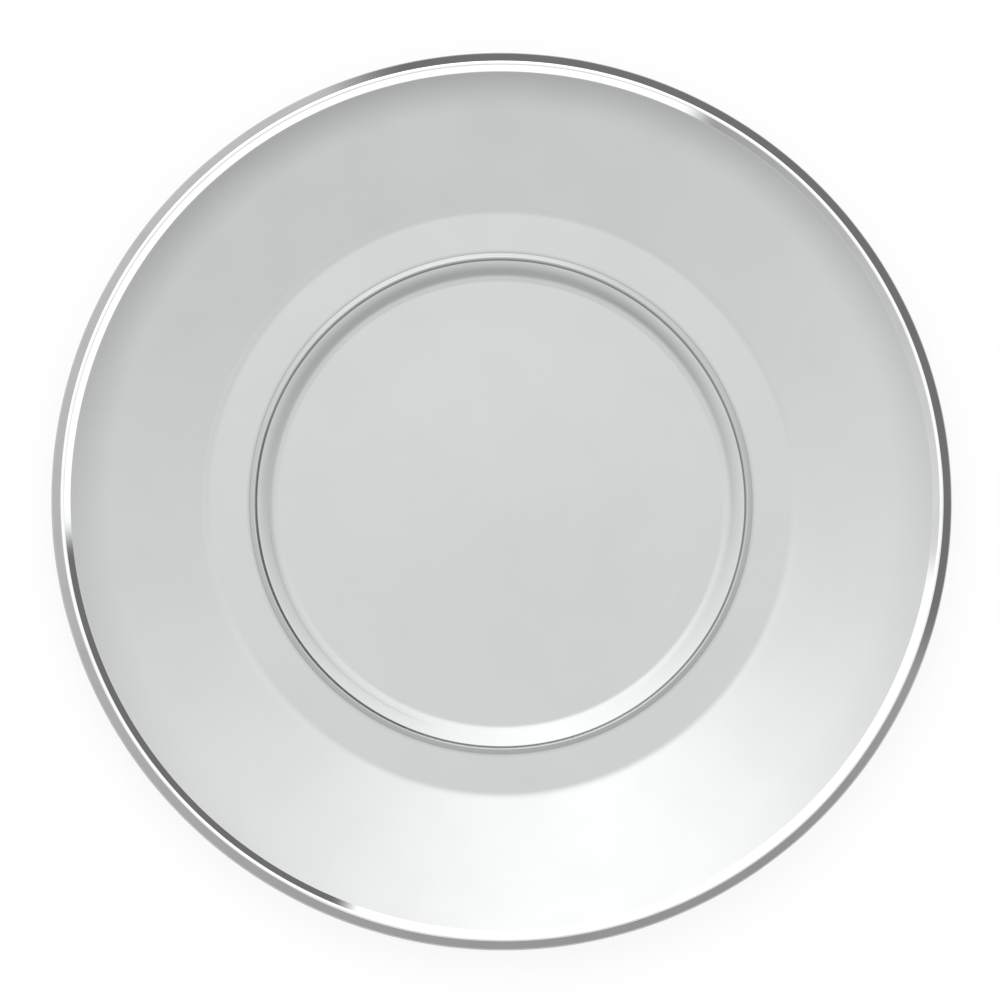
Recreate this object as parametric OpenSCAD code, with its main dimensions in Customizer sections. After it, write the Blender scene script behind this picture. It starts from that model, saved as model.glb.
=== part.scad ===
// Charger plate: a dish pressed from one sheet, with a wired border folded round its edge.
// It stands on the flat land under its well. The origin is the middle of that face, and +Z is up.
// Every piece is a section turned about the plate's axis. A point is [distance from the axis, height].

/* [Plate] */
// Diameter over the folded edge
plate_d = 330; // [290:1:380]
// Thickness of the pressed sheet
sheet_t = 1; // [0.7:0.1:1.4]

/* [Well] */
// Diameter of the well's floor, where the cove begins
well_d = 163.6; // [130:0.2:200]
// Radius of the cove between the floor and the wall
cove_r = 7.5; // [4:0.1:12]
// Slope of the wall at its steepest, in degrees
wall_angle = 26; // [20:1:34]
// Height of the straight part of the wall, between the cove and the shoulder
wall_h = 0.1; // [0.05:0.05:1.5]
// Radius of the shoulder, where the wall eases towards the ring
shoulder_r = 19.5; // [8:0.5:30]
// Slope at the end of the shoulder, in degrees
shoulder_angle = 13; // [8:1:18]
// Width of the flat land that the plate stands on
land_w = 9; // [5:0.5:20]
// Rise of the middle of the floor above the land
floor_crown = 0.3; // [0.1:0.05:0.8]

/* [Raised ring] */
// Height of the ring round the well above the ledge
ring_h = 0.35; // [0.25:0.05:0.7]
// Radius inside the bend along the crest of the ring
ring_bend_r = 0.25; // [0.2:0.05:0.8]
// Slope of the inner side of the ring, in degrees
ring_wall_angle = 44; // [36:1:55]
// Height of the straight part of the ring's inner side
ring_wall_h = 0.3; // [0.1:0.05:0.6]
// Slope of the outer side of the ring, in degrees
ring_slope = 16; // [12:1:24]
// Radius at the inner and outer feet of the ring
ring_foot_r = 0.5; // [0.2:0.1:0.8]

/* [Ledge and rim] */
// Width of the level ledge, from the foot of the ring to the rim's bend
ledge_w = 14.2; // [6:0.1:25]
// Slope of the rim, in degrees
rim_angle = 13; // [8:0.5:20]
// Radius of the bend between the ledge and the rim
rim_bend_r = 16; // [8:1:30]
// Slope of the rim where its upturn ends, in degrees
upturn_angle = 22; // [20.5:0.5:30]
// Radius of the gentle upturn outside the straight rim
upturn_r = 94; // [40:1:150]
// Radius inside the bend between the upturn and the seat of the border
seat_bend_r = 0.3; // [0.2:0.05:0.6]
// Fall of the seat of the border towards the edge, in degrees
seat_fall = 8.5; // [4:0.5:12]

/* [Border] */
// Thickness of the strip that makes the border
strip_t = 0.5; // [0.4:0.05:0.7]
// Width of the border, from the tip of its inner side to the edge of the sheet
border_w = 6.1; // [5.4:0.1:8]
// How far that tip reaches over the bend before the seat
tip_over = 0.5; // [0.3:0.05:0.6]
// Slope of the inner side of the border against its seat, in degrees
side_in_angle = 39; // [34:1:44]
// Slope of the outer side of the border against its seat, in degrees
side_out_angle = 26; // [22:1:30]
// Radius over the ridge between the two sides
ridge_r = 1.4; // [1.35:0.05:2]
// Width of the strip folded under the rim
fold_w = 4; // [3:0.5:8]

/* [Joints] */
// Film left between pieces that are fitted together
fit_gap = 0.05; // [0.02:0.01:0.1]
// Room left between the core wire and the inside of the border
core_gap = 0.5; // [0.45:0.05:0.7]
// Width of each solder seam on the rim
seam_w = 0.5; // [0.3:0.05:0.6]
// Gap between the two cut ends of the core wire
wire_end_gap = 0.4; // [0.2:0.1:1]

/* [Hidden] */
$fn = 180;

// Straight steps along each bend, and along the crown of the floor
bend_steps = 14;
floor_steps = 16;
// The most of the fall of the ring's outer side that the bend at its foot may take up
bend_share = 0.98;

// The wall of the well, on the upper face: the cove, a straight part and the shoulder
floor_z = sheet_t;
well_r = well_d / 2;
land_in_r = well_r - land_w;
wall_top = [well_r + cove_r * sin(wall_angle) + wall_h / tan(wall_angle),
    floor_z + cove_r * (1 - cos(wall_angle)) + wall_h];
shoulder_mid = wall_top - shoulder_r * square_to(wall_angle);

// The ring: its inner foot, where the shoulder ends, the straight part of its inner side, then its crest
foot_mid = shoulder_mid + (shoulder_r + ring_foot_r) * square_to(shoulder_angle);
ring_wall_run = ring_wall_h * [1 / tan(ring_wall_angle), 1];
crest_r = ring_bend_r + sheet_t;
crest_mid = foot_mid + ring_wall_run - (crest_r + ring_foot_r) * square_to(ring_wall_angle);
ring_r = crest_mid[0];
ledge_z = crest_mid[1] + crest_r - ring_h;

// The outer side of the ring falls from the crest to its foot on the ledge
side_fall = ring_h - crest_r * (1 - cos(ring_slope));
foot_fit_r = min(ring_foot_r, bend_share * side_fall / (1 - cos(ring_slope)));
side_run = (side_fall - foot_fit_r * (1 - cos(ring_slope))) / tan(ring_slope);
ring_foot_at = ring_r + (crest_r + foot_fit_r) * sin(ring_slope) + side_run;

// The rim rises straight from its bend to the upturn, then bends over to the straight seat, which falls outward
seat_angle = -seat_fall;
rim_bend_at = ring_foot_at + ledge_w;
rim_start_r = rim_bend_at + rim_bend_r * tan(rim_angle / 2);
fold_in_r = sheet_t / 2 + fit_gap;
fold_out_r = fold_in_r + strip_t;
seat_w = max(border_w - tip_over, fold_w + seam_w);
edge_r = plate_d / 2 - fold_out_r - sheet_t / 2 * sin(seat_angle);
seat_start_r = edge_r - seat_w * cos(seat_angle);
brow_r = seat_bend_r + sheet_t;
upturn_end_r = seat_start_r - brow_r * (sin(upturn_angle) - sin(seat_angle));
upturn_start_r = upturn_end_r - upturn_r * (sin(upturn_angle) - sin(rim_angle));
upturn_start_z = ledge_z + (upturn_start_r - rim_start_r) * tan(rim_angle);
upturn_end_z = upturn_start_z + upturn_r * (cos(rim_angle) - cos(upturn_angle));
brow_mid = [upturn_end_r, upturn_end_z] - brow_r * square_to(upturn_angle);
edge_z = brow_mid[1] + brow_r * cos(seat_angle) + seat_w * sin(seat_angle);

// The border is drawn on its seat: x runs outward to the edge of the sheet, and y is square to its upper face.
// The ridge touches two lines: the inner side through its tip, and the outer side that ends on the fold.
hem_mid = [0, -sheet_t / 2];
in_line = square_to(side_in_angle) * [-border_w, fit_gap] - ridge_r;
out_line = square_to(-side_out_angle) * hem_mid + fold_out_r - ridge_r;
ridge_mid = [out_line * cos(side_in_angle) - in_line * cos(side_out_angle),
    out_line * sin(side_in_angle) + in_line * sin(side_out_angle)] / sin(side_in_angle + side_out_angle);
fold_top = -sheet_t - fit_gap;
wire_gap_angle = wire_end_gap / edge_r * 180 / PI;

// Unit vector square to a slope, on its upper side
function square_to(slope) = [-sin(slope), cos(slope)];

// A bend is [centre, radius on the upper face, slope before it, slope after it].
// Going outward, the sheet turns up round a centre above it, or down round a centre below it.
bends = [
    [[well_r, floor_z + cove_r], cove_r, 0, wall_angle],
    [shoulder_mid, shoulder_r, wall_angle, shoulder_angle],
    [foot_mid, ring_foot_r, shoulder_angle, ring_wall_angle],
    [crest_mid, crest_r, ring_wall_angle, -ring_slope],
    [[ring_foot_at, ledge_z + foot_fit_r], foot_fit_r, -ring_slope, 0],
    [[rim_bend_at, ledge_z + rim_bend_r], rim_bend_r, 0, rim_angle],
    [[upturn_end_r, upturn_end_z] + upturn_r * square_to(upturn_angle), upturn_r, rim_angle, upturn_angle],
    [brow_mid, brow_r, upturn_angle, seat_angle],
];

// Points along a bend, at a depth below the upper face
function bend_points(bend, depth) =
    let (turn = bend[3] > bend[2] ? -1 : 1)
    [for (i = [0 : bend_steps])
        let (slope = bend[2] + (bend[3] - bend[2]) * i / bend_steps)
        bend[0] + turn * (bend[1] - turn * depth) * square_to(slope)];

// Points across the floor, from the axis to the land: a low crown that ends level at both ends
function floor_points(depth) =
    [for (i = [0 : floor_steps])
        let (share = i / floor_steps)
        [land_in_r * share, floor_z - depth + floor_crown * pow(1 - share * share, 2)]];

// One face of the sheet, from the axis to the seat of the border, at a depth below the upper face
function face_points(depth) =
    concat(floor_points(depth), [for (bend = bends) each bend_points(bend, depth)]);

// The rounded edge of the sheet, from its upper face to its lower face
function edge_points() =
    let (centre = [edge_r, edge_z] - sheet_t / 2 * square_to(seat_angle))
    [for (i = [0 : bend_steps])
        centre + sheet_t / 2 * square_to(seat_angle - 180 * i / bend_steps)];

function reversed(list) = [for (i = [len(list) - 1 : -1 : 0]) list[i]];

// Puts a section that is drawn on the seat in its place
function on_seat(points) =
    [for (point = points)
        [edge_r, edge_z] + point[0] * [cos(seat_angle), sin(seat_angle)] + point[1] * square_to(seat_angle)];

// Points over the ridge of the border, at a depth below its polished face
function ridge_points(depth) =
    [for (i = [0 : bend_steps])
        let (slope = side_in_angle - (side_in_angle + side_out_angle) * i / bend_steps)
        ridge_mid + (ridge_r - depth) * square_to(slope)];

// Where the inner side and the outer side reach down to the film on the seat, at a depth
function in_foot(depth) =
    let (top = ridge_points(depth)[0])
    [top[0] - (top[1] - fit_gap) / tan(side_in_angle), fit_gap];
function out_foot(depth) =
    let (top = ridge_points(depth)[bend_steps])
    [top[0] + (top[1] - fit_gap) / tan(side_out_angle), fit_gap];

// Points round the edge of the sheet and back under the rim, at a depth below the strip's outer face
function fold_points(depth) =
    let (turn = 180 - side_out_angle)
    concat(
        [for (i = [0 : bend_steps])
            hem_mid + (fold_out_r - depth) * square_to(-side_out_angle - turn * i / bend_steps)],
        [hem_mid - [fold_w, fold_out_r - depth]]);

// One face of the strip, from the tip of its inner side to the end of its fold
function strip_points(depth) = concat([in_foot(depth)], ridge_points(depth), fold_points(depth));

// The pressed dish: floor, wall, raised ring, ledge and rim
module plate_body() {
    color("silver") rotate_extrude()
        polygon(concat(face_points(0), edge_points(), reversed(face_points(sheet_t))));
}

// The polished strip, bent over the core wire and folded round the edge of the dish
module rim_border() {
    color("gainsboro") rotate_extrude()
        polygon(on_seat(concat(strip_points(0), reversed(strip_points(strip_t)))));
}

// The flat-footed wire that backs the ridge, bent to a hoop
module rim_core_wire() {
    depth = strip_t + core_gap;
    color("darkgray") rotate_extrude(angle = 360 - wire_gap_angle)
        polygon(on_seat(concat([in_foot(depth)], ridge_points(depth), [out_foot(depth)])));
}

// The seam inside the border, in the corner between its inner side and the seat
module upper_solder_seam() {
    foot = in_foot(strip_t);
    color("lightgray") rotate_extrude()
        polygon(on_seat([[foot[0], 0], [foot[0] + seam_w, 0],
            foot + seam_w * [cos(side_in_angle), sin(side_in_angle)], foot]));
}

// The seam that closes the end of the fold under the rim
module lower_solder_seam() {
    color("lightgray") rotate_extrude()
        polygon(on_seat([[-fold_w, -sheet_t], [-fold_w - seam_w, -sheet_t], [-fold_w, fold_top - strip_t]]));
}

plate_body();
rim_border();
rim_core_wire();
upper_solder_seam();
lower_solder_seam();
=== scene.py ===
import math

import bpy
import numpy as np
from mathutils import Matrix, Vector


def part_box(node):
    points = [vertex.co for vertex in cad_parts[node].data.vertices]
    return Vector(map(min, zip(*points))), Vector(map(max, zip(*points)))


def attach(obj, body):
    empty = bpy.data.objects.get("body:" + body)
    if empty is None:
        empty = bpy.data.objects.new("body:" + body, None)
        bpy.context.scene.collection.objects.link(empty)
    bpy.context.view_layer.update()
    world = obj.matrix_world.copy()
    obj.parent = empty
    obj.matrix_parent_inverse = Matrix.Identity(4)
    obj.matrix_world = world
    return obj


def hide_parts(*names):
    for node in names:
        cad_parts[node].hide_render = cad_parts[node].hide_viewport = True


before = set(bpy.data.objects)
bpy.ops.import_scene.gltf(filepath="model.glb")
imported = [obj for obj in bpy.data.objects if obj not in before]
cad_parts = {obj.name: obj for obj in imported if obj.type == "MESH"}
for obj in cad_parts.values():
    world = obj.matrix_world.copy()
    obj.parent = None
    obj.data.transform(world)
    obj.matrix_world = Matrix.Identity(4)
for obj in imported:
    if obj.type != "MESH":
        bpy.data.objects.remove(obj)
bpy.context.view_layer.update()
mm = 0.001
scene = bpy.context.scene
scene.view_settings.view_transform = "Standard"
borderLow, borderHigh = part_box("rim_border")
# the CAD ring is many-sided, so its flats count
plateR = min(borderHigh.x, borderHigh.y, -borderLow.x, -borderLow.y) / mm
print("frame loaded, plate radius", round(plateR, 3), "mm")


# camera
shot = dict(
    imagePx=1000,
    plateMiddlePx=(502.39, 499.5),  # where the middle of the border falls in the picture
    plateRadiusPx=450.8,
    tilt=5.3,  # degrees off straight down
    swing=-22,  # degrees that the tilt is turned from the lower edge of the picture
    distance=4.5,
    sensor=36,
    clipEnd=100,
)


def placeCamera(shot):
    # The camera stands along one line from the middle of the border.
    # Image up is +Y laid square to that line.
    tilt, swing = math.radians(shot["tilt"]), math.radians(shot["swing"])
    back = Vector((math.sin(tilt) * math.sin(swing), -math.sin(tilt) * math.cos(swing), math.cos(tilt)))
    right = Vector((0, 1, 0)).cross(back).normalized()
    up = back.cross(right)
    metresPerPx = plateR * mm / shot["plateRadiusPx"]
    half = shot["imagePx"] / 2
    offX, offY = shot["plateMiddlePx"][0] - half, shot["plateMiddlePx"][1] - half
    target = Vector((0, 0, borderHigh.z)) - right * offX * metresPerPx + up * offY * metresPerPx
    data = bpy.data.cameras.new("camera")
    data.sensor_width = shot["sensor"]
    data.lens = shot["sensor"] * shot["distance"] / (shot["imagePx"] * metresPerPx)
    data.clip_end = shot["clipEnd"]
    camera = bpy.data.objects.new("camera", data)
    turn = Matrix((right, up, back)).transposed().to_4x4()
    camera.matrix_world = Matrix.Translation(target + back * shot["distance"]) @ turn
    scene.collection.objects.link(camera)
    scene.camera = camera
    print("camera placed, lens", round(data.lens), "mm")


placeCamera(shot)


# shader maths
class Wire:
    # One socket of a node tree. Sums of wires and numbers add Math nodes, and node() adds any other kind.
    def __init__(self, tree, socket=None):
        self.tree = tree
        self.socket = socket

    def node(self, kind, settings=None, inputs=None, output=0):
        made = self.tree.nodes.new("ShaderNode" + kind)
        for name, value in (settings or {}).items():
            setattr(made, name, value)
        for name, value in (inputs or {}).items():
            if isinstance(value, Wire):
                self.tree.links.new(value.socket, made.inputs[name])
            else:
                made.inputs[name].default_value = value
        return Wire(self.tree, made.outputs[output] if len(made.outputs) else None)

    def maths(self, operation, first, second=0.0):
        return self.node("Math", dict(operation=operation), {0: first, 1: second})

    def __add__(self, other):
        return self.maths("ADD", self, other)

    def __radd__(self, other):
        return self.maths("ADD", other, self)

    def __sub__(self, other):
        return self.maths("SUBTRACT", self, other)

    def __rsub__(self, other):
        return self.maths("SUBTRACT", other, self)

    def __mul__(self, other):
        return self.maths("MULTIPLY", self, other)

    def __rmul__(self, other):
        return self.maths("MULTIPLY", other, self)

    def __truediv__(self, other):
        return self.maths("DIVIDE", self, other)

    def __pow__(self, other):
        return self.maths("POWER", self, other)

    def fade(self, low, high):
        # eases from 0 at low to 1 at high
        return self.node("MapRange", dict(interpolation_type="SMOOTHSTEP"), {0: self, 1: low, 2: high})

    def noise(self, scale, detail=2.0):
        return self.node("TexNoise", {}, {"Vector": self, "Scale": scale, "Detail": detail})

    def vector(self, x, y, z):
        return self.node("CombineXYZ", {}, {0: x, 1: y, 2: z})


def splitXyz(wire):
    return [wire.node("SeparateXYZ", {}, {0: wire}, output) for output in range(3)]


# light
plainWhite = (1, 1, 1, 1)
toDegrees = math.degrees(1)
studio = dict(
    overhead=0.95,
    flank=0.185,  # what the sides add to the level overhead
    flankTilt=(12, 21),  # degrees off straight up, where that fades in and where it is full
    lift=0.15,  # what the softbox's side adds near straight up
    liftSpread=(-0.02, 0.16),  # how far a direction leans to that side
    softboxTowards=99,  # degrees round from +X
    softboxTilt=(3.5, 19),
    softboxWide=(0.35, 1.3),  # how squarely a direction faces it, from nothing to full
    softboxCore=(0.745, 1.3),
    softboxGain=(0.31, 0.75),  # of the wide part and the core
    shadeGain=0.72,  # what the side away from the softbox lacks
    shadeSpread=(-1, 1.24),
    shadeTilt=(8, 53),
    # the foot of the tent, where its tilt is measured from where a level surface mirrors the camera
    footFrom=(5.3, 68),  # degrees off straight up, and round from +X
    bandTilt=(52, 57),  # a low band ends at the foot
    footTilt=(64, 66),
    glowTowards=-54,  # white part of the band
    glowSpread=(0.4, 0.5),
    glowLevel=1.1,
    greyTowards=205,  # grey part of the band
    greySpread=(0.74, 0.8),
    greyLevel=0.49,
    greyDrift=0.3,  # more towards the drift, less away from it
    slotTowards=40,  # dark part of the band
    slotSpread=(0.85, 0.89),
    slotLevel=0.16,
    footLevel=0.42,
    footDrift=0.11,
    driftTowards=125,
    duskTowards=46,  # dark part of the foot
    duskSpread=(0.42, 0.6),
    duskLevel=0.17,
    horizonTilt=(73, 80),  # the foot pales again at the floor
    horizonLevel=0.8,
    horizonDusk=0.3,
)


def lightStudio(studio):
    # One soft tent: level overhead, brighter towards the softbox and dimmer away from it.
    # Low down it has a band, and below that a foot.
    world = bpy.data.worlds.new("studio")
    world.use_nodes = True
    tree = world.node_tree
    tree.nodes.clear()
    start = Wire(tree)
    x, y, z = splitXyz(start.node("TexCoord", {}, {}, "Generated"))
    level = (x * x + y * y) ** 0.5
    tilt = start.maths("ARCCOSINE", z) * toDegrees

    def towards(degrees):
        # cosine of the angle round from a compass direction
        angle = math.radians(degrees)
        return (x * math.cos(angle) + y * math.sin(angle)) / level

    facing = towards(studio["softboxTowards"])
    wide, core = facing.fade(*studio["softboxWide"]), facing.fade(*studio["softboxCore"])
    wideGain, coreGain = studio["softboxGain"]
    softbox = (wide * wideGain + core * coreGain) * tilt.fade(*studio["softboxTilt"])
    shade = (0 - facing).fade(*studio["shadeSpread"]) * tilt.fade(*studio["shadeTilt"])
    flank = tilt.fade(*studio["flankTilt"])
    lift = (facing * level).fade(*studio["liftSpread"]) * (1 - flank)
    strength = studio["overhead"] + flank * studio["flank"] + lift * studio["lift"]
    strength = strength + softbox - shade * studio["shadeGain"]
    lean, leanTowards = [math.radians(angle) for angle in studio["footFrom"]]
    upright = z * math.cos(lean) + (x * math.cos(leanTowards) + y * math.sin(leanTowards)) * math.sin(lean)
    low = start.maths("ARCCOSINE", upright) * toDegrees
    band = low.fade(*studio["bandTilt"])
    drift = towards(studio["driftTowards"])
    levels = dict(
        grey=studio["greyLevel"] + drift * studio["greyDrift"],
        glow=studio["glowLevel"],
        slot=studio["slotLevel"],
    )
    for part, partLevel in levels.items():
        spread = towards(studio[part + "Towards"]).fade(*studio[part + "Spread"])
        strength = strength + band * spread * (partLevel - strength)
    dusk = towards(studio["duskTowards"]).fade(*studio["duskSpread"])
    foot = studio["footLevel"] + drift * studio["footDrift"]
    foot = foot + dusk * (studio["duskLevel"] - foot)
    horizon = studio["horizonLevel"] + dusk * (studio["horizonDusk"] - studio["horizonLevel"])
    foot = foot + low.fade(*studio["horizonTilt"]) * (horizon - foot)
    strength = strength + low.fade(*studio["footTilt"]) * (foot - strength)
    background = start.node("Background", {}, {"Color": plainWhite, "Strength": strength})
    start.node("OutputWorld", {}, {"Surface": background})
    scene.world = world
    print("studio lit")


lightStudio(studio)


# floor
floor = dict(radius=8, corners=64, colour=(0.96, 0.96, 0.96, 1), shown=0.8, white=1.04)


def layFloor(floor):
    # A plain disc at the height that the plate stands on
    turn = np.linspace(0, 2 * math.pi, floor["corners"], endpoint=False)
    corners = np.stack([floor["radius"] * np.cos(turn), floor["radius"] * np.sin(turn), 0 * turn], axis=1)
    mesh = bpy.data.meshes.new("floor")
    mesh.from_pydata(corners.tolist(), [], [list(range(len(turn)))])
    disc = bpy.data.objects.new("floor", mesh)
    scene.collection.objects.link(disc)
    material = bpy.data.materials.new("paleFloor")
    material.use_nodes = True
    tree = material.node_tree
    tree.nodes.clear()
    start = Wire(tree)
    camera, glossy, through = [
        start.node("LightPath", {}, {}, name)
        for name in ("Is Camera Ray", "Is Glossy Ray", "Is Transmission Ray")
    ]
    seen = (camera + glossy + through) * floor["shown"]
    paint = start.node("BsdfDiffuse", {}, {"Color": floor["colour"]})
    white = start.node("Emission", {}, {"Color": plainWhite, "Strength": floor["white"]})
    start.node("OutputMaterial", {}, {0: start.node("MixShader", {}, {0: seen, 1: paint, 2: white})})
    mesh.materials.append(material)


layFloor(floor)
print("floor laid")


# finishes
markDetail = 3.0
noiseMiddle = 0.5  # what a noise node gives on average


def newFinish(name):
    # an empty material and the start of its node tree
    material = bpy.data.materials.new(name)
    material.use_nodes = True
    material.node_tree.nodes.clear()
    return material, Wire(material.node_tree)


def roundPlace(start):
    # object place, then distance from the axis and height in mm, then the direction out from the axis
    place = start.node("TexCoord", {}, {}, "Object")
    x, y, z = splitXyz(place)
    reach = (x * x + y * y) ** 0.5
    return place, reach * (1 / mm), z * (1 / mm), (x / reach, y / reach)


def turningMarks(start, out, reach, arcs, perMm):
    # noise drawn out along circles round the axis: short arcs, and many to each mm outwards
    return start.vector(out[0] * arcs, out[1] * arcs, reach * perMm).noise(1.0, markDetail)


def vary(noise, amount):
    # noise evened about nothing
    return (noise - noiseMiddle) * amount


def tint(start, factor, plain, changed):
    return start.node("Mix", dict(data_type="RGBA"), {0: factor, 6: plain, 7: changed}, 2)


def metal(start, colour, rough, height, strength, distance):
    bump = start.node("Bump", {}, {"Strength": strength, "Distance": distance, "Height": height})
    shader = start.node("BsdfPrincipled", {}, {"Metallic": 1.0, "Base Color": colour, "Roughness": rough,
                                               "Normal": bump})
    start.node("OutputMaterial", {}, {0: shader})


satin = dict(
    steel=(0.6, 0.612, 0.607, 1), worn=(0.585, 0.597, 0.592, 1), wornFade=(0.35, 0.75), smear=(35, 4.0),
    rough=0.2, roughSmear=0.06, roughMarks=0.05, roughCreaseBands=0.08, arcs=5, perMm=6, bump=(0.25, 0.000002),
    # painted shade all round the ring: dark bands in its creases, with where each fades in and out in mm
    # from a radius of the ring
    grooveShade=dict(colour=(0.025, 0.0255, 0.025, 1), fill=0.5, rise=(0, 0.16), fall=(0.6, 0.85)),
    foot=dict(colour=(0.42, 0.429, 0.425, 1), fill=0.6, rise=(-2.0, -1.2), fall=(-0.1, 1.6)),
    line=dict(colour=(0.025, 0.0255, 0.025, 1), fill=0.24, rise=(-0.3, -0.08), fall=(0.08, 0.35)),
)


def satinFinish(satin, grooveR, ringFootR):
    material, start = newFinish("satinSteel")
    place, reach, _, out = roundPlace(start)
    marks = turningMarks(start, out, reach, satin["arcs"], satin["perMm"])
    smear = place.noise(*satin["smear"])
    colour = tint(start, smear.fade(*satin["wornFade"]), satin["steel"], satin["worn"])
    rough = satin["rough"] + vary(smear, satin["roughSmear"]) + vary(marks, satin["roughMarks"])
    # painted shade: the foot, line and groove bands darken the steel along the ring's creases, and roughen
    # it a little there
    for name, radius in dict(foot=ringFootR, line=ringFootR, grooveShade=grooveR).items():
        band = satin[name]
        past = reach - radius
        paintedShade = past.fade(*band["rise"]) * (1 - past.fade(*band["fall"])) * band["fill"]
        colour = tint(start, paintedShade, colour, band["colour"])
        rough = rough + paintedShade * satin["roughCreaseBands"]
    metal(start, colour, rough, marks, *satin["bump"])
    return material


under = dict(
    steel=(0.55, 0.56, 0.557, 1), streak=(0.47, 0.478, 0.475, 1), streakFade=(0.3, 0.7), smear=(22, 5.0),
    rough=0.36, roughSmear=0.12, roughMarks=0.1, arcs=3, perMm=2.5, bump=(0.4, 0.00001),
)


def underFinish(under):
    material, start = newFinish("turnedUnderside")
    place, reach, _, out = roundPlace(start)
    marks = turningMarks(start, out, reach, under["arcs"], under["perMm"])
    smear = place.noise(*under["smear"])
    colour = tint(start, marks.fade(*under["streakFade"]), under["steel"], under["streak"])
    rough = under["rough"] + vary(smear, under["roughSmear"]) + vary(marks, under["roughMarks"])
    metal(start, colour, rough, marks, *under["bump"])
    return material


bright = dict(
    silver=(0.95, 0.96, 0.957, 1), rubbed=(0.88, 0.89, 0.887, 1), rubbedFade=(0.45, 0.8), smear=(50, 3.0),
    rough=0.05, roughSmear=0.03, arcs=9, perMm=8, bump=(0.15, 0.000002),
)


def brightFinish(bright):
    material, start = newFinish("brightBorder")
    place, reach, _, out = roundPlace(start)
    marks = turningMarks(start, out, reach, bright["arcs"], bright["perMm"])
    smear = place.noise(*bright["smear"])
    colour = tint(start, smear.fade(*bright["rubbedFade"]), bright["silver"], bright["rubbed"])
    rough = bright["rough"] + vary(smear, bright["roughSmear"])
    metal(start, colour, rough, marks, *bright["bump"])
    return material


# painted shade: the hem's steel is darker than the bright strip it is folded from, standing in for the
# shaded floor that it mirrors. The lighter rubbed patches at its edge are wear.
hem = dict(
    steel=(0.47, 0.478, 0.475, 1), rub=(0.56, 0.568, 0.565, 1), rubW=0.6, rubFade=(0.35, 0.7),
    patches=(90, 4.0), rough=0.24, roughMarks=0.1, rubGloss=0.08, arcs=7, perMm=9, bump=(0.25, 0.000004),
)


def hemFinish(hem, edgeR):
    material, start = newFinish("hemSteel")
    place, reach, height, out = roundPlace(start)
    marks = turningMarks(start, out, height, hem["arcs"], hem["perMm"])
    rub = reach.fade(edgeR - hem["rubW"], edgeR) * place.noise(*hem["patches"]).fade(*hem["rubFade"])
    colour = tint(start, rub, hem["steel"], hem["rub"])
    rough = hem["rough"] + vary(marks, hem["roughMarks"]) - rub * hem["rubGloss"]
    metal(start, colour, rough, marks, *hem["bump"])
    return material


solder = dict(
    tin=(0.78, 0.788, 0.787, 1), dull=(0.64, 0.648, 0.65, 1), dullFade=(0.4, 0.7), lumps=(450, 3.0),
    patches=(70, 4.0), rough=0.2, roughPatches=0.15, bump=(0.3, 0.00002),
)


def solderFinish(solder):
    material, start = newFinish("solderBead")
    place = start.node("TexCoord", {}, {}, "Object")
    lumps = place.noise(*solder["lumps"])
    grey = place.noise(*solder["patches"])
    colour = tint(start, grey.fade(*solder["dullFade"]), solder["tin"], solder["dull"])
    metal(start, colour, solder["rough"] + vary(grey, solder["roughPatches"]), lumps, *solder["bump"])
    return material


drawn = dict(
    steel=(0.5, 0.5, 0.5, 1), line=(0.38, 0.38, 0.385, 1), lineFade=(0.35, 0.65),
    rough=0.34, roughLines=0.2, arcs=2, perMm=12, bump=(0.4, 0.00001),
)


def wireFinish(drawn):
    material, start = newFinish("drawnWire")
    _, reach, height, out = roundPlace(start)
    lines = turningMarks(start, out, reach + height, drawn["arcs"], drawn["perMm"])
    colour = tint(start, lines.fade(*drawn["lineFade"]), drawn["steel"], drawn["line"])
    metal(start, colour, drawn["rough"] + vary(lines, drawn["roughLines"]), lines, *drawn["bump"])
    return material


# surfaces of revolution
halfTurn = 180
samePoint = 1e-5  # mm
sharpAngle = 38  # degrees between two faces whose edge stays crisp


def squareTo(slope):
    # unit vector square to a slope in degrees, on its upper side
    angle = np.radians(slope)
    return np.stack([-np.sin(angle), np.cos(angle)], axis=-1)


def run(first, last, count):
    # a straight run whose points crowd towards both ends
    share = (1 - np.cos(np.linspace(0, math.pi, count + 1))) / 2
    return np.array(first) + share[:, None] * (np.array(last) - np.array(first))


def joined(pieces):
    # pieces of an outline end to end, without the points that repeat, and each point's piece by number
    points = np.concatenate(pieces)
    owner = np.repeat(np.arange(len(pieces)), [len(piece) for piece in pieces])
    fresh = np.concatenate([[True], np.linalg.norm(np.diff(points, axis=0), axis=1) > samePoint])
    return points[fresh], owner[fresh]


def fade(value, low, high):
    share = np.clip((value - low) / (high - low), 0, 1)
    return share * share * (3 - 2 * share)


def turnAngles(steps):
    return np.linspace(0, 2 * math.pi, steps, endpoint=False)


def ripple(turn, parts):
    # sum of waves round the axis: each has a height, a count to the turn and a start
    return sum(height * np.sin(count * turn + begin) for height, count, begin in parts)


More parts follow.
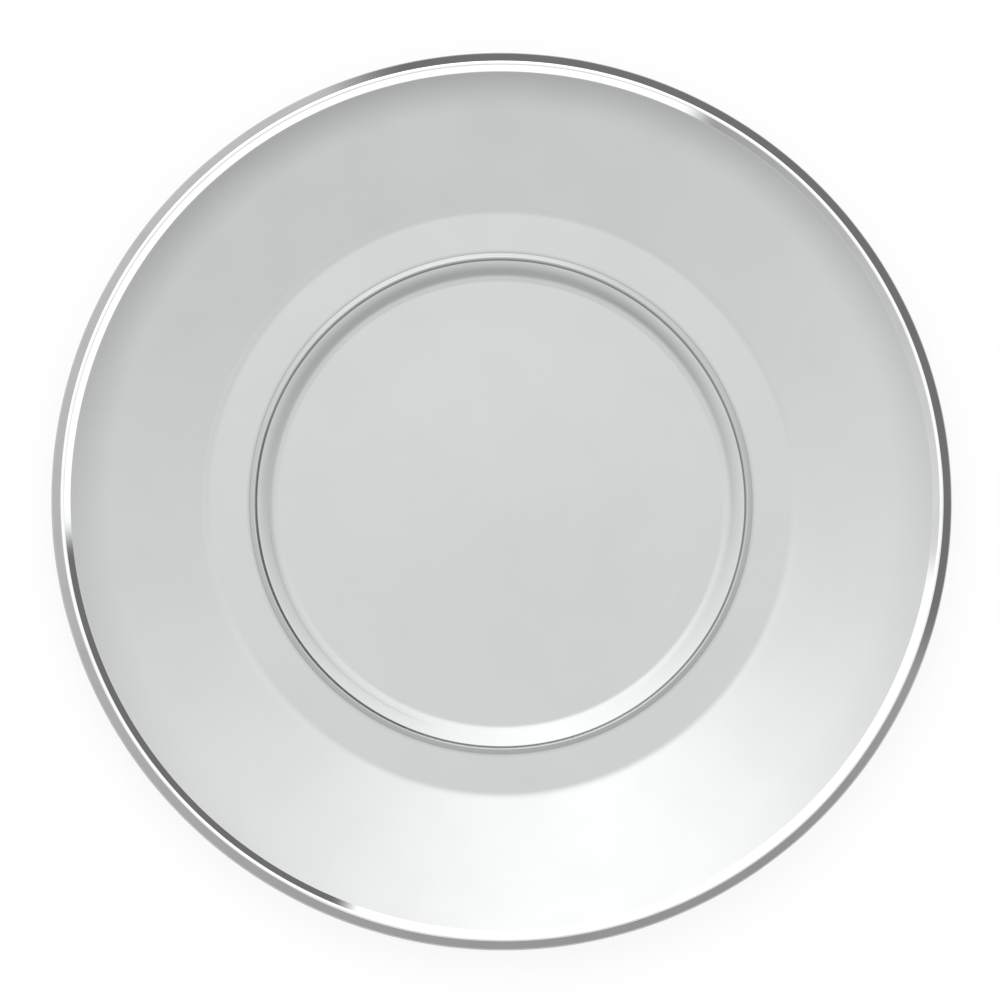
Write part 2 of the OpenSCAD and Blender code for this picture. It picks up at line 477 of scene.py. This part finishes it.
def spin(name, sections, zones, finishes, poles=None):
    # P(u, v) = (r cos v, r sin v, z), where (r, z) in mm is point u of the section at turn v.
    # Without poles the section closes on itself as a hoop.
    # Heights of two poles close it on the axis with fans.
    steps, count = sections.shape[:2]
    turn = turnAngles(steps)[:, None]
    reach, height = sections[..., 0], sections[..., 1]
    points = np.stack([reach * np.cos(turn), reach * np.sin(turn), height], axis=2).reshape(-1, 3)
    number = np.arange(steps * count).reshape(steps, count)
    if poles is None:
        number = np.concatenate([number, number[:, :1]], axis=1)
    beside = np.roll(number, -1, axis=0)
    quads = np.stack([number[:, :-1], number[:, 1:], beside[:, 1:], beside[:, :-1]], axis=2)
    zone = np.broadcast_to(zones[: quads.shape[1]], quads.shape[:2]).ravel()
    faces = quads.reshape(-1, 4).tolist()
    if poles is not None:
        first, last = len(points), len(points) + 1
        points = np.concatenate([points, [[0, 0, poles[0]], [0, 0, poles[1]]]])
        pole = np.full(steps, first)
        faces += np.stack([pole, number[:, 0], beside[:, 0]], axis=1).tolist()
        faces += np.stack([number[:, -1], pole * 0 + last, beside[:, -1]], axis=1).tolist()
        zone = np.concatenate([zone, np.full(steps, zones[0]), np.full(steps, zones[-1])])
    mesh = bpy.data.meshes.new(name)
    mesh.from_pydata((points * mm).tolist(), [], faces)
    for finish in finishes:
        mesh.materials.append(finish)
    mesh.polygons.foreach_set("material_index", zone.astype(np.int32))
    mesh.shade_smooth()
    mesh.set_sharp_from_angle(angle=math.radians(sharpAngle))
    mesh.update()
    piece = bpy.data.objects.new(name, mesh)
    scene.collection.objects.link(piece)
    print(name, "made,", sum(len(face) - 2 for face in faces), "triangles")
    return piece


def mount(piece, node):
    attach(piece, "root")
    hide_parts(node)


# dish, in mm and degrees
dish = dict(
    sheetT=1, wellR=81.8, coveR=7.5, wallAngle=26, wallH=0.1, shoulderR=19.5, shoulderAngle=13,
    landW=9, floorCrown=0.3, ringH=0.35, ringBendR=0.25, ringWallAngle=44, ringWallH=0.3,
    ringSlope=16, ringFootR=0.5, crestEdgeR=0.4, ledgeW=14.2, rimAngle=13, rimBendR=16,
    upturnAngle=22, upturnR=94, seatBendR=0.3, seatAngle=-8.5, seatW=5.6,
    # counts of faces: round, along the floor, in each bend, in the run before each bend, and at the edge
    steps=320, floorSteps=30, bendSteps=(18, 18, 8, 20, 6, 14, 18, 8), runSteps=(6, 2, 2, 2, 4, 10, 20, 2),
    edgeSteps=10, edgeRunSteps=4, lowerShare=0.5,
)
border = dict(
    stripT=0.5, width=6.1, sideIn=39, sideOut=26, ridgeR=1.4, foldW=4, fitGap=0.05, trim=0.006,
    sway=((0.02, 7, 0.4), (0.015, 17, 1.9)), swayRise=(0.6, 1.6),
    steps=420, bendSteps=24, runSteps=6, endSteps=2, lowerShare=0.5,
)
foldInR = dish["sheetT"] / 2 + border["fitGap"]
foldOutR = foldInR + border["stripT"]
seatAngle = math.radians(dish["seatAngle"])
edgeR = plateR - foldOutR - dish["sheetT"] / 2 * math.sin(seatAngle)


def dishBends(dish):
    # each bend of the pressing, going outwards: centre, radius on the upper face, slopes before and after
    wall, side = math.radians(dish["wallAngle"]), math.radians(dish["ringSlope"])
    rim, upturn = math.radians(dish["rimAngle"]), math.radians(dish["upturnAngle"])
    coveMid = np.array([dish["wellR"], dish["sheetT"] + dish["coveR"]])
    wallRun = dish["wallH"] * np.array([1 / math.tan(wall), 1])
    wallTop = coveMid - dish["coveR"] * squareTo(dish["wallAngle"]) + wallRun
    shoulderMid = wallTop - dish["shoulderR"] * squareTo(dish["wallAngle"])
    cornerMid = shoulderMid + (dish["shoulderR"] + dish["ringFootR"]) * squareTo(dish["shoulderAngle"])
    crestR = dish["ringBendR"] + dish["sheetT"]
    ringWallRun = dish["ringWallH"] * np.array([1 / math.tan(math.radians(dish["ringWallAngle"])), 1])
    crestMid = cornerMid + ringWallRun - (crestR + dish["ringFootR"]) * squareTo(dish["ringWallAngle"])
    ledgeZ = crestMid[1] + crestR - dish["ringH"]
    sideFall = dish["ringH"] - (crestR + dish["ringFootR"]) * (1 - math.cos(side))
    footAt = crestMid[0] + (crestR + dish["ringFootR"]) * math.sin(side) + sideFall / math.tan(side)
    bendAt = footAt + dish["ledgeW"]
    rimStart = bendAt + dish["rimBendR"] * math.tan(rim / 2)
    browR = dish["seatBendR"] + dish["sheetT"]
    browRun = browR * (math.sin(upturn) - math.sin(seatAngle))
    upturnEndR = edgeR - dish["seatW"] * math.cos(seatAngle) - browRun
    upturnStartR = upturnEndR - dish["upturnR"] * (math.sin(upturn) - math.sin(rim))
    upturnStartZ = ledgeZ + (upturnStartR - rimStart) * math.tan(rim)
    upturnEnd = np.array([upturnEndR, upturnStartZ + dish["upturnR"] * (math.cos(rim) - math.cos(upturn))])
    upturnMid = upturnEnd + dish["upturnR"] * squareTo(dish["upturnAngle"])
    browMid = upturnEnd - browR * squareTo(dish["upturnAngle"])
    return [
        (coveMid, dish["coveR"], 0, dish["wallAngle"]),
        (shoulderMid, dish["shoulderR"], dish["wallAngle"], dish["shoulderAngle"]),
        (cornerMid, dish["ringFootR"], dish["shoulderAngle"], dish["ringWallAngle"]),
        (crestMid, crestR, dish["ringWallAngle"], -dish["ringSlope"]),
        ((footAt, ledgeZ + dish["ringFootR"]), dish["ringFootR"], -dish["ringSlope"], 0),
        ((bendAt, ledgeZ + dish["rimBendR"]), dish["rimBendR"], 0, dish["rimAngle"]),
        (upturnMid, dish["upturnR"], dish["rimAngle"], dish["upturnAngle"]),
        (browMid, browR, dish["upturnAngle"], dish["seatAngle"]),
    ]


bends = dishBends(dish)
crestNumber = 3
ringInsideAt, ringFootAt = bends[crestNumber - 1][0][0], bends[crestNumber + 1][0][0]
seatAlong = np.array([math.cos(seatAngle), math.sin(seatAngle)])
edgePoint = bends[-1][0] + bends[-1][1] * squareTo(dish["seatAngle"]) + dish["seatW"] * seatAlong


def atEdge(points):
    # puts points drawn on the border's seat in place: x outwards along the seat, y square to it
    return edgePoint + points[..., :1] * seatAlong + points[..., 1:] * squareTo(dish["seatAngle"])


def crispBends(dish, bends):
    # the bends of the upper face, with a smaller circle between the same two sides at the crest of the ring
    crestMid, crestR, before, after = bends[crestNumber]
    half = math.radians((before - after) / 2)
    shift = (crestR - dish["crestEdgeR"]) / math.cos(half) * squareTo((before + after) / 2)
    crisp = (crestMid + shift, dish["crestEdgeR"], before, after)
    return bends[:crestNumber] + [crisp] + bends[crestNumber + 1:]


def dishFace(dish, bends, depth, share):
    # one face of the sheet at a depth below the upper one.
    # z = t - depth + crown (1 - q^2)^2 over the floor, q outwards, then bends with straight runs between.
    inner = dish["wellR"] - dish["landW"]
    reach = np.linspace(0, 1, int(dish["floorSteps"] * share) + 1)[1:]
    crown = dish["floorCrown"] * (1 - reach ** 2) ** 2
    points = [np.stack([inner * reach, dish["sheetT"] - depth + crown], axis=1)]
    for bend, bendSteps, runSteps in zip(bends, dish["bendSteps"], dish["runSteps"]):
        centre, radius, before, after = bend
        side = -1 if after > before else 1
        slope = np.linspace(before, after, int(bendSteps * share) + 1)
        curve = np.array(centre) + side * (radius - side * depth) * squareTo(slope)
        points += [run(points[-1][-1], curve[0], int(runSteps * share)), curve]
    return joined(points)[0]


wave = dict(
    floorIn=(4, 24), floorOut=(62, 71), floorRise=0.004,
    rimIn=(1, 12), rimOut=(148, 156), rimRise=0.006,  # rimIn from the foot of the ring
    parts=((1, 3, 0.6, 11, 0.4), (0.7, 5, 2.1, 7, 1.7)),
)


def pressingWave(wave, reach, turn):
    # the sheet's slight unevenness in mm, nothing at the land and under the border.
    # Each part is height sin(count turn + begin) sin(reach / length + start).
    ringPast = reach - ringFootAt
    floorPart = fade(reach, *wave["floorIn"]) * (1 - fade(reach, *wave["floorOut"]))
    rimPart = fade(ringPast, *wave["rimIn"]) * (1 - fade(reach, *wave["rimOut"]))
    uneven = sum(
        height * np.sin(count * turn + begin) * np.sin(reach / length + start)
        for height, count, begin, length, start in wave["parts"]
    )
    return (floorPart * wave["floorRise"] + rimPart * wave["rimRise"]) * uneven


def makeDish(dish):
    # the section runs out along the upper face, round the edge of the sheet and back along the lower face
    upper = dishFace(dish, crispBends(dish, bends), 0, 1)
    lower = dishFace(dish, bends, dish["sheetT"], dish["lowerShare"])[::-1]
    halfT = dish["sheetT"] / 2
    middle = edgePoint - halfT * squareTo(dish["seatAngle"])
    rounded = middle + halfT * squareTo(dish["seatAngle"] - np.linspace(0, halfTurn, dish["edgeSteps"] + 1))
    toEdge = run(upper[-1], rounded[0], dish["edgeRunSteps"])
    fromEdge = run(rounded[-1], lower[0], dish["edgeRunSteps"])
    topPieces = [upper, toEdge]
    section, owner = joined(topPieces + [rounded, fromEdge, lower])
    turn = turnAngles(dish["steps"])[:, None]
    sections = np.repeat(section[None], dish["steps"], axis=0)
    sections[..., 1] += pressingWave(wave, sections[..., 0], turn)
    crowned = dish["sheetT"] + dish["floorCrown"]
    finishes = [satinFinish(satin, ringInsideAt, ringFootAt), underFinish(under)]
    zones = (owner >= len(topPieces)).astype(int)
    return spin("dish", sections, zones, finishes, (crowned, crowned - dish["sheetT"]))


mount(makeDish(dish), "plate_body")


# border, in mm on its seat
hemMid = np.array([0, -dish["sheetT"] / 2])


def ridgeMiddle(border):
    # Centre of the ridge's circle. It touches the inner side, which starts at the strip's tip,
    # and the outer side, which touches the hem's circle.
    inner, outer = math.radians(border["sideIn"]), math.radians(border["sideOut"])
    tip = np.array([-border["width"], border["fitGap"]])
    inLine = squareTo(border["sideIn"]) @ tip - border["ridgeR"]
    outLine = squareTo(-border["sideOut"]) @ hemMid + foldOutR - border["ridgeR"]
    across = outLine * math.cos(inner) - inLine * math.cos(outer)
    up = outLine * math.sin(inner) + inLine * math.sin(outer)
    return np.array([across, up]) / math.sin(inner + outer)


def stripFace(border, depth, share):
    # one face of the strip at a depth below the polished one: inner side, ridge, outer side, hem and fold
    middle, sideIn, sideOut = ridgeMiddle(border), border["sideIn"], border["sideOut"]
    bendCount = int(border["bendSteps"] * share) + 1
    runCount = border["runSteps"]
    ridge = middle + (border["ridgeR"] - depth) * squareTo(np.linspace(sideIn, -sideOut, bendCount))
    drop = (ridge[0, 1] - border["fitGap"]) / math.tan(math.radians(sideIn))
    tip = np.array([ridge[0, 0] - drop, border["fitGap"]])
    hemR = foldOutR - depth
    hemCurve = hemMid + hemR * squareTo(np.linspace(-sideOut, -halfTurn, bendCount))
    end = hemMid - [border["foldW"], hemR]
    brightFaces = [run(tip, ridge[0], runCount), ridge, run(ridge[-1], hemCurve[0], runCount)]
    return brightFaces, [hemCurve, run(hemCurve[-1], end, runCount)]


def makeBorder(border):
    # strip bent over a wire and folded round the edge: its outer face, then its inner face back to the tip
    brightFaces, hemFaces = stripFace(border, border["trim"], 1)
    insideFaces = sum(stripFace(border, border["stripT"], border["lowerShare"]), [])
    back = [piece[::-1] for piece in insideFaces[::-1]]
    cutEnd = run(hemFaces[-1][-1], back[0][0], border["endSteps"])
    outline, owner = joined(brightFaces + hemFaces + [cutEnd] + back)
    turn = turnAngles(border["steps"])[:, None, None]
    sections = np.repeat(atEdge(outline)[None], border["steps"], axis=0)
    ridgePart = fade(outline[:, 1], *border["swayRise"])
    sections += ridgePart[None, :, None] * ripple(turn, border["sway"]) * np.array([1.0, 0.0])
    finishes = [brightFinish(bright), hemFinish(hem, plateR)]
    return spin("border", sections, (owner >= len(brightFaces)).astype(int), finishes)


mount(makeBorder(border), "rim_border")


# solder seam under the rim, in mm on the border's seat
seam = dict(
    width=0.5, thin=0.8, hollow=0.12, swellMiddle=0.5, swell=((0.3, 13, 0.7), (0.2, 31, 2.4)),
    steps=420, runSteps=2, hollowSteps=8,
)


def hollowFace(first, last, hollow, count):
    # a shallow hollow between two feet: the straight line, dipped by a half wave towards the corner
    points = np.linspace(first, last, count + 1)
    across = np.array(last) - np.array(first)
    inwards = np.array([across[1], -across[0]])
    return points + hollow * np.sin(np.linspace(0, math.pi, count + 1))[:, None] * inwards


def seamSection(seam, width):
    # along the sheet to the end of the fold, down that end and back across the hollow face
    corner = np.array([-border["foldW"], -dish["sheetT"]])
    drop = border["fitGap"] + border["stripT"]
    toe, foot = corner - [width, 0], corner - [0, drop]
    face = hollowFace(foot, toe, seam["hollow"], seam["hollowSteps"])
    return joined([run(toe, corner, seam["runSteps"]), run(corner, foot, seam["runSteps"]), face])[0][:-1]


def makeSeam(seam):
    # the seam swells and thins round the rim, between its full and its slim section
    full, slim = seamSection(seam, seam["width"]), seamSection(seam, seam["width"] * seam["thin"])
    turn = turnAngles(seam["steps"])[:, None, None]
    swell = seam["swellMiddle"] + ripple(turn, seam["swell"])
    sections = atEdge(slim + swell * (full - slim))
    return spin("lowerSeam", sections, np.zeros(sections.shape[1], int), [solderMetal])


solderMetal = solderFinish(solder)
mount(makeSeam(seam), "lower_solder_seam")


# core wire and upper seam, the CAD nodes themselves, hidden in the border
def finishNode(name, finish):
    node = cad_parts[name]
    node.data.materials.clear()
    node.data.materials.append(finish)


finishNode("rim_core_wire", wireFinish(drawn))
finishNode("upper_solder_seam", solderMetal)
print("hidden pieces finished")
